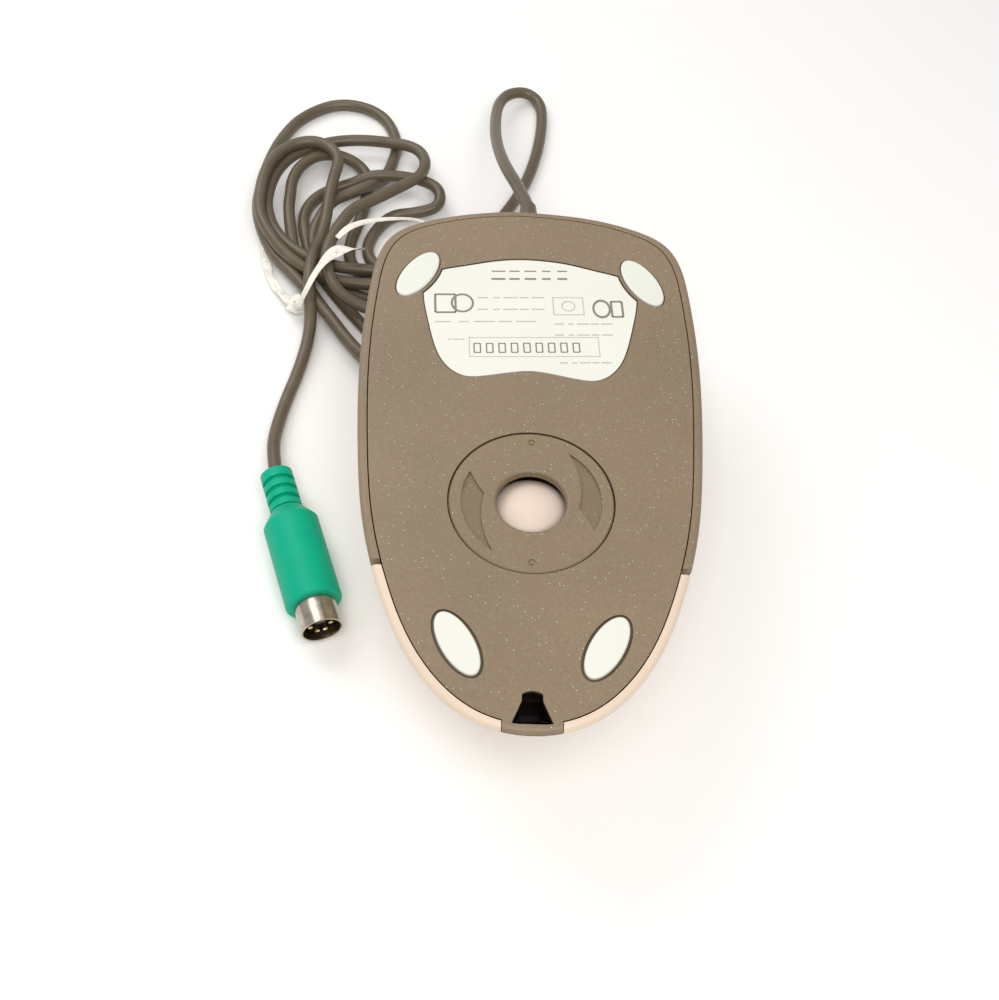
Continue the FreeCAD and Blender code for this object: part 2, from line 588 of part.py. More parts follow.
# ---------------------------------------------------------------- board and switches
def make_board():
    rear = RING_Y + 15.2
    wide = BOARD_WIDTH / 2
    board = box(-wide, wide, rear, WHEEL_Y + 12.0, BOARD_FACE, BOARD_TOP)
    board = board.fuse(box(-20.0, 20.0, WHEEL_Y + 10.0, WHEEL_Y + 23.0, BOARD_FACE, BOARD_TOP))
    wing = box(COLLAR_OUT + 0.6, wide, RING_Y - 2.0, rear + 1, BOARD_FACE, BOARD_TOP)
    board = board.fuse(wing)
    z0, z1 = BOARD_FACE - 1, BOARD_TOP + 1
    cuts = [ring_cut(COLLAR_OUT + 0.4, z0, z1),
            centred(0, WHEEL_Y, WHEEL_WIDTH + 2 * WHEEL_GAP + 1, 16, z0, z1),
            centred(-ROLLER_OFFSET, X_DISC_Y, 2 * DISC_RADIUS + 2, DISC_THICK + 1.6, z0, z1),
            centred(Y_DISC_X, RING_Y + ROLLER_OFFSET, DISC_THICK + 1.6, 2 * DISC_RADIUS + 2, z0, z1)]
    for y in X_POSTS:
        cuts.append(centred(-ROLLER_OFFSET, y, 6.4, 2.4, z0, z1))
    for x in Y_POSTS:
        cuts.append(centred(x, RING_Y + ROLLER_OFFSET, 2.4, 6.4, z0, z1))
    for side in (1, -1):
        cuts.append(centred(side * 8.6, WHEEL_PIVOT_Y, 2.8, 5.4, z0, z1))
    for x, y in BOARD_POSTS:
        cuts.append(rod(SCREW_RADIUS + 0.1, (x, y, z0), (x, y, z1)))
    return board.cut(Part.makeCompound(cuts))


def hang(x, y, wide, deep, tall):
    """Block on the component face of the board."""
    return centred(x, y, wide, deep, BOARD_FACE - tall, BOARD_FACE)


def make_switch(side):
    x, y = side * SWITCH_AT[0], SWITCH_AT[1]
    body = hang(x, y, *SWITCH)
    return body.makeChamfer(0.3, [e for e in body.Edges if e.BoundBox.ZMax < BOARD_FACE - 6])


def make_plunger(side):
    x, y = side * SWITCH_AT[0], SWITCH_AT[1] + 3.0
    z1 = BOARD_FACE - SWITCH[2] - 0.0
    return centred(x, y, PLUNGER[0], PLUNGER[1], z1 - PLUNGER[2], z1)


def switch_with_slot(side):
    """Switch housing with the well its plunger sinks into."""
    x, y = side * SWITCH_AT[0], SWITCH_AT[1] + 3.0
    z0 = BOARD_FACE - SWITCH[2]
    well = centred(x, y, PLUNGER[0] + 0.2, PLUNGER[1] + 0.2, z0 - 1, z0 + 0.9)
    return make_switch(side).cut(well)


WHEEL_SWITCH_AT = (10.6, WHEEL_Y)


def make_wheel_switch():
    x, y = WHEEL_SWITCH_AT
    body = hang(x, y, 6.0, 6.0, 3.6)
    return body.cut(rod(1.75, (x, y, 0), (x, y, BOARD_FACE - 2.6)))


def make_wheel_plunger():
    x, y = WHEEL_SWITCH_AT
    return rod(1.6, (x, y, BOARD_FACE - 4.9), (x, y, BOARD_FACE - 3.3))


def make_wheel_carrier():
    """Fork that holds the wheel and rocks on the two front posts."""
    z0, z1 = WHEEL_Z - 3.0, WHEEL_Z + 3.0
    front = WHEEL_PIVOT_Y + 1.6
    rise0, rise1 = WHEEL_PIVOT_Z - 1.8, WHEEL_PIVOT_Z + 1.8
    arms = []
    for x0 in (4.7, -6.1):
        arms.append(box(x0, x0 + 1.4, WHEEL_Y - 3.4, WHEEL_Y + 3.4, z0, z1))
        arms.append(box(x0, x0 + 1.4, WHEEL_Y + 3.0, front, rise0, rise1))
    bar = box(-6.1, 6.1, WHEEL_Y + WHEEL_RADIUS + 0.9, front, rise0, rise1)
    pins = [rod(AXLE_RADIUS, (side * 5.0, WHEEL_PIVOT_Y, WHEEL_PIVOT_Z),
                (side * 9.6, WHEEL_PIVOT_Y, WHEEL_PIVOT_Z)) for side in (1, -1)]
    x, y = WHEEL_SWITCH_AT
    ear_top = BOARD_FACE - 4.9 - TOUCH_GAP
    ear = box(4.7, x + 1.8, y - 1.8, y + 1.8, z1 - 1.0, ear_top)
    carrier = joined(bar, *arms, *pins, ear)
    axle = rod(AXLE_RADIUS + BEARING_GAP, (-7, WHEEL_Y, WHEEL_Z), (7, WHEEL_Y, WHEEL_Z))
    return carrier.cut(axle)


def make_wheel_hub():
    half = WHEEL_WIDTH / 2
    rim_out, rim_in = WHEEL_RADIUS - TYRE, WHEEL_RADIUS - TYRE - 1.8
    hub = pipe(rim_out, rim_in, (-half, WHEEL_Y, WHEEL_Z), (half, WHEEL_Y, WHEEL_Z))
    web = rod(rim_out - 0.5, (-0.8, WHEEL_Y, WHEEL_Z), (0.8, WHEEL_Y, WHEEL_Z))
    boss = rod(2.6, (-half, WHEEL_Y, WHEEL_Z), (half, WHEEL_Y, WHEEL_Z))
    axle = rod(AXLE_RADIUS, (-10.5, WHEEL_Y, WHEEL_Z), (6.0, WHEEL_Y, WHEEL_Z))
    return joined(hub, web, boss, axle)


def make_wheel_tyre():
    half = WHEEL_WIDTH / 2
    tyre = pipe(WHEEL_RADIUS, WHEEL_RADIUS - TYRE, (-half, WHEEL_Y, WHEEL_Z),
                (half, WHEEL_Y, WHEEL_Z))
    rims = [e for e in tyre.Edges if abs(e.BoundBox.ZMax - WHEEL_Z - WHEEL_RADIUS) < 0.01
            and e.BoundBox.XLength < 0.01]
    tyre = tyre.makeFillet(1.2, rims)
    grooves = []
    count = 24
    for step in range(count):
        groove = box(-2.4, 2.4, -0.45, 0.45, WHEEL_RADIUS - 0.6, WHEEL_RADIUS + 1)
        groove.rotate(V(0, 0, 0), V(1, 0, 0), 360.0 * step / count)
        groove.translate(V(0, WHEEL_Y, WHEEL_Z))
        grooves.append(groove)
    return tyre.cut(Part.makeCompound(grooves))


def make_wheel_encoder():
    body = box(-12.0, -6.3, WHEEL_Y - 5.5, WHEEL_Y + 5.5, WHEEL_Z - 4.2, WHEEL_Z + 5.4)
    return body.cut(rod(AXLE_RADIUS + BEARING_GAP, (-11, WHEEL_Y, WHEEL_Z), (0, WHEEL_Y, WHEEL_Z)))


def make_chip():
    """Controller in a dual in-line package."""
    x, y = 8.4, KEY_LINE_Y - 3.4
    body = hang(x, y, 20.0, 6.4, 4.0).cut(hang(x, y, 30.0, 10.0, 0.6))
    body = body.cut(rod(1.0, (x - 10, y, BOARD_FACE - 4.5), (x - 10, y, BOARD_FACE - 3.6)))
    legs = []
    for step in range(8):
        for side in (1, -1):
            lx, ly = x - 8.89 + 2.54 * step, y + side * 3.5
            legs.append(centred(lx, ly, 1.0, 0.6, BOARD_FACE - 2.6, BOARD_FACE))
    return joined(body, *legs)


def make_capacitor():
    x, y = 17.5, KEY_LINE_Y + 8.5
    can = rod(2.5, (x, y, BOARD_FACE - 7.5), (x, y, BOARD_FACE))
    return can.makeFillet(0.4, [e for e in can.Edges if e.BoundBox.ZMax < BOARD_FACE - 7])


def make_crystal():
    x, y = -17.5, KEY_LINE_Y + 1.5
    can = hang(x, y, 10.4, 4.0, 3.6)
    return can.makeFillet(1.6, [e for e in can.Edges if e.BoundBox.ZLength > 3])


def make_resistors():
    group = []
    for step in range(4):
        y = KEY_LINE_Y + 6.5 + 2.6 * step
        start, end = (-22.0, y, BOARD_FACE - 1.2), (-15.6, y, BOARD_FACE - 1.2)
        body = rod(0.95, start, end)
        leads = [rod(0.3, (x, y, BOARD_FACE - 1.2), (x, y, BOARD_FACE)) for x in (-21.6, -16.0)]
        group.append(joined(body, *leads))
    return Part.makeCompound(group)


HEADER_AT = (0.0, WHEEL_Y + 20.0)
LEADS = 4
LEAD_PITCH = 2.0


def make_header():
    x, y = HEADER_AT
    return hang(x, y, LEADS * LEAD_PITCH + 2.4, 4.0, 5.0)


def make_screws(places, head_z, depth, sink):
    """Pan-head screws; sink is +1 where the head faces up and -1 where it faces down."""
    group = []
    for x, y in places:
        head = rod(SCREW_HEAD_RADIUS, (x, y, head_z), (x, y, head_z - sink * 1.2))
        shank = rod(SCREW_RADIUS, (x, y, head_z - sink * 1.1), (x, y, head_z - sink * depth))
        slot = centred(x, y, 3.0, 0.7, min(head_z, head_z - sink * 0.6), max(head_z, head_z - sink * 0.6))
        cross = centred(x, y, 0.7, 3.0, min(head_z, head_z - sink * 0.6), max(head_z, head_z - sink * 0.6))
        group.append(joined(head, shank).cut(slot).cut(cross))
    return Part.makeCompound(group)


# ---------------------------------------------------------------- cord
EXIT_Z = ZB - CORD_EXIT_BELOW
BOOT_END = HALF_L + 7.8
CORD_R = CORD_DIAMETER / 2
LOOP_ROUTE = [(0, BOOT_END, EXIT_Z), (-1.9, 81.5, 27.6), (-5.4, 95.5, 22.2), (-7.4, 111, 16),
              (-7.6, 126.5, 10), (-6.7, 138.5, 6.2), (-3.8, 145.6, 4.2), (1.4, 148.6, 2.8),
              (5.8, 145.2, 1.9), (6.2, 136.5, 1.6), (4.7, 124, 1.6), (1.2, 110.5, 1.6),
              (-5.5, 97, 1.6), (-12, 87.5, 1.6), (-18.5, 79.5, 1.8), (-24, 73, 2.4)]
PLUG_ENTRY = (-55.4, 9.0, PLUG_BODY_RADIUS)
PLUG_HEADING = (0.333, -0.943)
LEAD_ROUTE = [(-52.3, 57.6, 3.9), (-52.5, 52.0, 2.5), (-54.0, 43.0, 1.6), (-56.2, 33.6, 1.7),
              (-57.4, 24.6, 2.6), (-57.3, 16.6, 4.6), PLUG_ENTRY]
COIL_OUTLINE = [(-39.5, 85), (-33, 92.5), (-20.5, 95.5), (-19, 102), (-23, 112), (-31.5, 124),
                (-36, 134), (-45, 141), (-55, 141.5), (-64, 135), (-70, 122), (-72.5, 106),
                (-70, 92), (-64, 79), (-59, 68), (-52, 56.5), (-44.5, 46.5), (-36, 38.5),
                (-22, 36), (-8, 41), (-1.5, 52), (-3, 67), (-13, 77.5), (-27, 79.5)]
COIL_HEIGHT = 10.5
COIL_HOLE = ((-53.0, 105.0), (11.0, 7.0), 78.0)


def rounded_path(points):
    """Straight runs joined by tangent arcs, each as large as its two runs allow."""
    points = [V(*p) for p in points]
    edges, here, radii = [], points[0], []
    for before, corner, after in zip(points, points[1:], points[2:]):
        a, b = (before - corner), (after - corner)
        turn = math.pi - a.getAngle(b)
        back = 0.45 * min(a.Length, b.Length)
        radii.append(back / math.tan(turn / 2))
        a.normalize()
        b.normalize()
        start, end = corner + a * back, corner + b * back
        half = (a + b).normalize()
        depth = radii[-1] / math.cos(turn / 2) - radii[-1]
        edges.append(Part.LineSegment(here, start).toShape())
        edges.append(Part.Arc(start, corner + half * depth, end).toShape())
        here = end
    edges.append(Part.LineSegment(here, points[-1]).toShape())
    return Part.Wire(edges), radii


def tube(points, radius, name):
    path, radii = rounded_path(points)
    start, heading = V(*points[0]), V(*points[1]) - V(*points[0])
    profile = Part.Wire([Part.Circle(start, heading, radius).toShape()])
    solid = path.makePipeShell([profile], True, False)
    print(name, "length", round(path.Length, 1), "volume", round(solid.Volume, 1),
          "section x length", round(math.pi * radius ** 2 * path.Length, 1),
          "radii", [round(r, 1) for r in radii])
    return solid


def make_cord_boot():
    """Rubber relief: flange inside, neck in the wall, tapered nose outside."""
    y_wall = HALF_L - WALL
    flange = rod(3.8, (0, y_wall - 2.4, EXIT_Z), (0, y_wall - 0.5, EXIT_Z))
    neck = rod(2.6, (0, y_wall - 0.6, EXIT_Z), (0, HALF_L + 1.2, EXIT_Z))
    nose = Part.makeCone(2.6, CORD_R + 0.35, BOOT_END - HALF_L - 1.2, V(0, HALF_L + 1.2, EXIT_Z), V(0, 1, 0))
    return joined(flange, neck, nose)


def make_coil():
    outline = closed_curve([(x, y, 0) for x, y in COIL_OUTLINE])
    coil = prism(outline, 0, COIL_HEIGHT)
    hole = prism(oval(*COIL_HOLE), -1, COIL_HEIGHT + 1)
    return coil.cut(hole)


def make_tie():
    """Paper tie laid over the gathered turns, with a twisted knot at its lower end."""
    start, end = V(-60.2, 62.0, 0), V(-37.0, 88.6, 0)
    run = end - start
    angle = math.degrees(math.atan2(run.y, run.x))
    long, wide, thick = run.Length, 4.4, 0.9
    top = box(0, long, -wide / 2, wide / 2, COIL_HEIGHT + 0.05, COIL_HEIGHT + 0.05 + thick)
    leg = box(0, thick, -wide / 2, wide / 2, 2.0, COIL_HEIGHT + thick)
    knot = box(-2.6, 0.2, -1.8, 1.8, 1.2, 4.6)
    tie = joined(top, leg, knot)
    tie.rotate(V(0, 0, 0), V(0, 0, 1), angle)
    tie.translate(start)
    return tie


def on_plug(shape):
    """Stands a shape built along +X from the origin in the plug's place."""
    shape.rotate(V(0, 0, 0), V(0, 0, 1), math.degrees(math.atan2(PLUG_HEADING[1], PLUG_HEADING[0])))
    shape.translate(V(*PLUG_ENTRY))
    return shape


def make_plug_body():
    neck = rod(PLUG_NECK_RADIUS, (0, 0, 0), (PLUG_NECK, 0, 0))
    for step in range(4):
        at = 2.2 + 2.6 * step
        neck = neck.cut(pipe(PLUG_NECK_RADIUS + 1, PLUG_NECK_RADIUS - 0.7, (at, 0, 0), (at + 1.1, 0, 0)))
    shoulder = Part.makeCone(PLUG_NECK_RADIUS, PLUG_BODY_RADIUS, 3.6, V(PLUG_NECK - 2.4, 0, 0), V(1, 0, 0))
    end = PLUG_NECK + PLUG_BODY
    body = rod(PLUG_BODY_RADIUS, (PLUG_NECK + 1.2, 0, 0), (end, 0, 0))
    plug = joined(neck, shoulder, body)
    plug = plug.makeFillet(0.8, [e for e in plug.Edges if e.BoundBox.XMin > end - 0.01])
    plug = plug.cut(rod(CRIMP_RADIUS, (end - CRIMP_DEPTH, 0, 0), (end + 1, 0, 0)))
    return on_plug(plug)


PLUG_FACE = PLUG_NECK + PLUG_BODY
SHELL_WALL = 0.4
SHELL_STEP = 0.3          # shell's full width starts this far ahead of the moulding
CRIMP_RADIUS = PLUG_SHELL_RADIUS - 0.2
CRIMP_DEPTH = 3.0
PIN_PLACES = [(2.2, 0.0), (-2.2, 0.0), (2.2, 1.9), (-2.2, 1.9), (0.9, -2.2), (-0.9, -2.2)]


def make_plug_shell():
    start, step, end = PLUG_FACE - CRIMP_DEPTH, PLUG_FACE + SHELL_STEP, PLUG_FACE + PLUG_SHELL
    inside = CRIMP_RADIUS - SHELL_WALL
    crimp = pipe(CRIMP_RADIUS, inside, (start, 0, 0), (step + SHELL_WALL, 0, 0))
    shell = pipe(PLUG_SHELL_RADIUS, PLUG_SHELL_RADIUS - SHELL_WALL, (step, 0, 0), (end, 0, 0))
    collar = pipe(PLUG_SHELL_RADIUS - 0.1, inside, (step, 0, 0), (step + SHELL_WALL, 0, 0))
    return on_plug(joined(crimp, shell, collar))


def make_plug_insulator():
    core = rod(CRIMP_RADIUS - SHELL_WALL, (PLUG_FACE - CRIMP_DEPTH, 0, 0), (PLUG_FACE + 0.6, 0, 0))
    key = box(PLUG_FACE, PLUG_FACE + PLUG_SHELL - 1.0, -1.1, 1.1, 1.2, 2.6)
    insulator = core.fuse(key)
    for y, z in PIN_PLACES:
        insulator = insulator.cut(rod(0.5, (PLUG_FACE - 2.0, y, z), (PLUG_FACE + 9, y, z)))
    return on_plug(insulator)


def make_plug_pins():
    pins = [rod(0.5, (PLUG_FACE - 2.0, y, z), (PLUG_FACE + PLUG_SHELL - 1.2, y, z))
            for y, z in PIN_PLACES]
    return on_plug(Part.makeCompound(pins))


# ---------------------------------------------------------------- build
def all_parts():
    ball_coat, ball_core = ball_shell()
    parts = {
        "base_shell": make_base_shell(),
        "side_band": make_side_band(),
        "palm_cover": make_palm_cover(),
        "left_button": make_key(-1),
        "right_button": make_key(1),
        "ball_ring": make_ball_ring(),
        "ball_coat": ball_coat,
        "ball_core": ball_core,
        "label": make_label(),
        "x_roller": make_x_roller(),
        "y_roller": make_y_roller(),
        "idler_roller": make_idler_roller(),
        "idler_arm": make_idler_arm(),
        "x_lamp": make_eye((-ROLLER_OFFSET - 4.0, X_DISC_Y + 3.2), "y", 1),
        "x_sensor": make_eye((-ROLLER_OFFSET - 4.0, X_DISC_Y - 3.2), "y", -1),
        "y_lamp": make_eye((Y_DISC_X - 3.2, RING_Y + ROLLER_OFFSET + 4.0), "x", -1),
        "y_sensor": make_eye((Y_DISC_X + 3.2, RING_Y + ROLLER_OFFSET + 4.0), "x", 1),
        "circuit_board": make_board(),
        "left_switch": switch_with_slot(-1),
        "right_switch": switch_with_slot(1),
        "left_plunger": make_plunger(-1),
        "right_plunger": make_plunger(1),
        "wheel_switch": make_wheel_switch(),
        "wheel_plunger": make_wheel_plunger(),
        "wheel_carrier": make_wheel_carrier(),
        "wheel_hub": make_wheel_hub(),
        "wheel_tyre": make_wheel_tyre(),
        "wheel_encoder": make_wheel_encoder(),
        "controller_chip": make_chip(),
        "capacitor": make_capacitor(),
        "crystal": make_crystal(),
        "resistors": make_resistors(),
        "cord_header": make_header(),
        "cord_boot": make_cord_boot(),
        "cord_tube": tube(LOOP_ROUTE, CORD_R, "cord_tube"),
        "plug_lead": tube(LEAD_ROUTE, CORD_R, "plug_lead"),
        "cord_coil": make_coil(),
        "cord_tie": make_tie(),
        "plug_body": make_plug_body(),
        "plug_shell": make_plug_shell(),
        "plug_insulator": make_plug_insulator(),
        "plug_pins": make_plug_pins(),
    }
    for name, (at, halves, lean, gap) in foot_places().items():
        parts[name] = make_foot(at, halves, lean)
    casing = [(side * SCREW_AT[0], SCREW_AT[1]) for side in (-1, 1)]
    parts["casing_screws"] = make_screws(casing, ZB - 0.5, 11.0, 1)
    parts["board_screws"] = make_screws(BOARD_POSTS, BOARD_FACE - 1.2, 5.8, -1)
    return parts


os.makedirs("parts", exist_ok=True)
for node, shape in sorted(all_parts().items()):
    solids = len(shape.Solids)
    print(node, "solids", solids, "valid", shape.isValid(), "volume", round(shape.Volume, 1))
    shape.exportStep(os.path.join("parts", node + ".step"))
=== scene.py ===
"""Ball mouse lying on its back with its cord tied in a hank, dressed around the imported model."""
import json
import math

import bpy
from mathutils import Matrix, Vector


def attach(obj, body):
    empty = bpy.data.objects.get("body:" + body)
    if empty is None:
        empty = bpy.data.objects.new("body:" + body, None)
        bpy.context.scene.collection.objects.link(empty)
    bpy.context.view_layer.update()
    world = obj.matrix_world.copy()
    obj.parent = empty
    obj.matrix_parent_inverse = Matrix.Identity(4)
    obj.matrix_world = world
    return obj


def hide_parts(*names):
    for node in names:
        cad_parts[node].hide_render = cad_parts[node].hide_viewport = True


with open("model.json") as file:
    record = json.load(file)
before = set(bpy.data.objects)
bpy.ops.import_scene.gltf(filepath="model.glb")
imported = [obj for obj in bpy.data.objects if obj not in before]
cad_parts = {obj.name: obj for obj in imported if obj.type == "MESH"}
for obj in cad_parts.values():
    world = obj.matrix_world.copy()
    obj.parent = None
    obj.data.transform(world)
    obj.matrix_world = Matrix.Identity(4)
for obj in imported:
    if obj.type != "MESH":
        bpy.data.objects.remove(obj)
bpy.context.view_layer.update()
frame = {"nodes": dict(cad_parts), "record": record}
nodes = frame["nodes"]
MM = 0.001


def deselect():
    bpy.ops.object.select_all(action="DESELECT")


# ---------------------------------------------------------------- camera and light
SENSOR_WIDTH = 36.0
LENS = 45.216
CAMERA_PLACE = (-15.216, -150.446, 242.233)
CAMERA_ANGLES = (-3.781, 56.674, 5.195)    # azimuth, elevation and roll


def look_matrix(place, azimuth, elevation, roll):
    """Camera matrix from its place in millimetres and its angles in degrees."""
    turn, lift, lean = (math.radians(a) for a in (azimuth, elevation, roll))
    back = Vector((math.sin(turn) * math.cos(lift), -math.cos(turn) * math.cos(lift), math.sin(lift)))
    right = (-back).cross(Vector((0, 0, 1))).normalized()
    up = right.cross(-back)
    side = math.cos(lean) * right + math.sin(lean) * up
    top = -math.sin(lean) * right + math.cos(lean) * up
    matrix = Matrix((side, top, back)).transposed().to_4x4()
    matrix.translation = Vector(place) * MM
    return matrix


deselect()
bpy.ops.object.camera_add()
camera = bpy.context.object
camera.name = "camera"
camera.data.sensor_width = SENSOR_WIDTH
camera.data.lens = LENS
camera.data.clip_start = 0.01
camera.matrix_world = look_matrix(CAMERA_PLACE, *CAMERA_ANGLES)
bpy.context.scene.camera = camera

bpy.context.scene.view_settings.view_transform = "Standard"

WORLD_LIGHT = 0.5
world = bpy.data.worlds.new("studio")
bpy.context.scene.world = world
world.use_nodes = True
world.node_tree.nodes["Background"].inputs["Color"].default_value = (1.0, 0.985, 0.965, 1.0)
world.node_tree.nodes["Background"].inputs["Strength"].default_value = WORLD_LIGHT


def soft_box(name, place, target, size, watts, colour):
    """Square area light that faces a point, both in millimetres."""
    deselect()
    bpy.ops.object.light_add(type="AREA", location=Vector(place) * MM)
    lamp = bpy.context.object
    lamp.name = name
    lamp.data.size = size * MM
    lamp.data.energy = watts
    lamp.data.color = colour
    aim = Vector(target) - Vector(place)
    lamp.rotation_euler = aim.to_track_quat("-Z", "Y").to_euler()


soft_box("key_softbox", (40, -300, 560), (0, -30, 20), 420, 2.5, (1.0, 0.975, 0.94))
soft_box("back_fill", (-260, 320, 420), (-20, 40, 20), 380, 1.2, (1.0, 0.98, 0.96))


# ---------------------------------------------------------------- finishes
def finish_material(name, colour, roughness, specular=0.5, metallic=0.0):
    """Material with its shader set, and the handles that its pattern nodes need."""
    material = bpy.data.materials.new(name)
    material.use_nodes = True
    tree = material.node_tree
    shader = tree.nodes["Principled BSDF"]
    shader.inputs["Base Color"].default_value = (*colour, 1.0)
    shader.inputs["Roughness"].default_value = roughness
    shader.inputs["Specular IOR Level"].default_value = specular
    shader.inputs["Metallic"].default_value = metallic
    return material, tree, shader


def object_noise(tree, scale, detail=3.0, rough=0.5):
    where = tree.nodes.new("ShaderNodeTexCoord")
    noise = tree.nodes.new("ShaderNodeTexNoise")
    noise.inputs["Scale"].default_value = scale
    noise.inputs["Detail"].default_value = detail
    noise.inputs["Roughness"].default_value = rough
    tree.links.new(where.outputs["Object"], noise.inputs["Vector"])
    return noise.outputs["Fac"]


def ramp(tree, value, stops):
    """Colour ramp over a value; stops are (place, colour)."""
    node = tree.nodes.new("ShaderNodeValToRGB")
    marks = node.color_ramp.elements
    while len(marks) < len(stops):
        marks.new(0.5)
    for mark, (place, colour) in zip(marks, stops):
        mark.position = place
        mark.color = (*colour, 1.0)
    tree.links.new(value, node.inputs["Fac"])
    return node.outputs["Color"]


def mixed(tree, kind, share, one, two):
    """Mix of two colours; share is a number or a value socket."""
    node = tree.nodes.new("ShaderNodeMix")
    node.data_type = "RGBA"
    node.blend_type = kind
    if isinstance(share, float):
        node.inputs["Factor"].default_value = share
    else:
        tree.links.new(share, node.inputs["Factor"])
    for socket, colour in (("A", one), ("B", two)):
        place = [s for s in node.inputs if s.name == socket and s.type == "RGBA"][0]
        if isinstance(colour, tuple):
            place.default_value = (*colour, 1.0)
        else:
            tree.links.new(colour, place)
    return [s for s in node.outputs if s.type == "RGBA"][0]


def bumped(tree, shader, value, strength, distance):
    bump = tree.nodes.new("ShaderNodeBump")
    bump.inputs["Strength"].default_value = strength
    bump.inputs["Distance"].default_value = distance
    tree.links.new(value, bump.inputs["Height"])
    tree.links.new(bump.outputs["Normal"], shader.inputs["Normal"])


def spread(tree, value, low, high):
    """Value stretched from 0..1 to low..high."""
    node = tree.nodes.new("ShaderNodeMapRange")
    node.inputs["To Min"].default_value = low
    node.inputs["To Max"].default_value = high
    tree.links.new(value, node.inputs["Value"])
    return node.outputs["Result"]


CELLS_WITHOUT_FLECK = 0.82


def flecks(tree, scale, size):
    """1 on sparse round flecks and 0 between them."""
    where = tree.nodes.new("ShaderNodeTexCoord")
    cells = tree.nodes.new("ShaderNodeTexVoronoi")
    cells.inputs["Scale"].default_value = scale
    tree.links.new(where.outputs["Object"], cells.inputs["Vector"])
    near = tree.nodes.new("ShaderNodeMath")
    near.operation = "LESS_THAN"
    near.inputs[1].default_value = size
    tree.links.new(cells.outputs["Distance"], near.inputs[0])
    parts = tree.nodes.new("ShaderNodeSeparateColor")
    tree.links.new(cells.outputs["Color"], parts.inputs["Color"])
    few = tree.nodes.new("ShaderNodeMath")
    few.operation = "GREATER_THAN"
    few.inputs[1].default_value = CELLS_WITHOUT_FLECK
    tree.links.new(parts.outputs[0], few.inputs[0])
    both = tree.nodes.new("ShaderNodeMath")
    both.operation = "MULTIPLY"
    tree.links.new(near.outputs[0], both.inputs[0])
    tree.links.new(few.outputs[0], both.inputs[1])
    return both.outputs[0]


def within_box(tree, middle, half):
    """1 inside a box of the piece, both in millimetres, and 0 outside it."""
    where = tree.nodes.new("ShaderNodeTexCoord")
    value = where.outputs["Object"]
    for operation, numbers in (("SUBTRACT", middle), ("ABSOLUTE", None), ("DIVIDE", half)):
        step = tree.nodes.new("ShaderNodeVectorMath")
        step.operation = operation
        tree.links.new(value, step.inputs[0])
        if numbers:
            step.inputs[1].default_value = Vector(numbers) * MM
        value = step.outputs["Vector"]
    parts = tree.nodes.new("ShaderNodeSeparateXYZ")
    tree.links.new(value, parts.inputs["Vector"])
    widest = parts.outputs["X"]
    for other in ("Y", "Z"):
        larger = tree.nodes.new("ShaderNodeMath")
        larger.operation = "MAXIMUM"
        tree.links.new(widest, larger.inputs[0])
        tree.links.new(parts.outputs[other], larger.inputs[1])
        widest = larger.outputs[0]
    inside = tree.nodes.new("ShaderNodeMath")
    inside.operation = "LESS_THAN"
    inside.inputs[1].default_value = 1.0
    tree.links.new(widest, inside.inputs[0])
    return inside.outputs[0]


def painted_recess_shade(material, middle, half, shade):
    """Paints shade into the finish inside a box of the piece: a darker colour that stands in for the
    shadow in a recess.
    """
    tree = material.node_tree
    shader = tree.nodes["Principled BSDF"]
    plain = shader.inputs["Base Color"].links[0].from_socket
    dimmed = mixed(tree, "MULTIPLY", within_box(tree, middle, half), plain, shade)
    tree.links.new(dimmed, shader.inputs["Base Color"])


FLECK_COLOUR = (0.62, 0.56, 0.47)


def moulded_taupe(name, light, dark):
    material, tree, shader = finish_material(name, light, 0.46, 0.45)
    grain = object_noise(tree, 1900.0, 4.0, 0.6)
    clouds = object_noise(tree, 28.0, 3.0)
    base = ramp(tree, grain, [(0.32, dark), (0.68, light)])
    worn = ramp(tree, clouds, [(0.35, (0.94, 0.94, 0.94)), (0.7, (1.07, 1.065, 1.06))])
    toned = mixed(tree, "MULTIPLY", 1.0, base, worn)
    sparkle = flecks(tree, 1500.0, 0.16)
    speckled = mixed(tree, "MIX", sparkle, toned, FLECK_COLOUR)
    tree.links.new(speckled, shader.inputs["Base Color"])
    tree.links.new(spread(tree, grain, 0.38, 0.56), shader.inputs["Roughness"])
    bumped(tree, shader, grain, 0.2, 0.00005)
    return material


def smooth_plastic(name, colour, roughness, mottle=0.04, grain_scale=1400.0, depth=0.00003,
                   specular=0.5):
    material, tree, shader = finish_material(name, colour, roughness, specular)
    grain = object_noise(tree, grain_scale, 3.0)
    clouds = object_noise(tree, 45.0, 3.0)
    darker = tuple(c * (1.0 - mottle) for c in colour)
    tree.links.new(ramp(tree, clouds, [(0.35, darker), (0.65, colour)]), shader.inputs["Base Color"])
    tree.links.new(spread(tree, grain, roughness * 0.85, min(roughness * 1.2, 1.0)),
                   shader.inputs["Roughness"])
    bumped(tree, shader, grain, 0.2, depth)
    return material


def cord_rubber():
    material, tree, shader = finish_material("cord_rubber", (0.1, 0.08, 0.05), 0.34, 0.5)
    clouds = object_noise(tree, 160.0, 3.0)
    grain = object_noise(tree, 2600.0, 2.0)
    base = ramp(tree, clouds, [(0.3, (0.098, 0.077, 0.046)), (0.7, (0.132, 0.104, 0.065))])
    tree.links.new(base, shader.inputs["Base Color"])
    tree.links.new(spread(tree, clouds, 0.3, 0.46), shader.inputs["Roughness"])
    bumped(tree, shader, grain, 0.12, 0.00003)
    return material


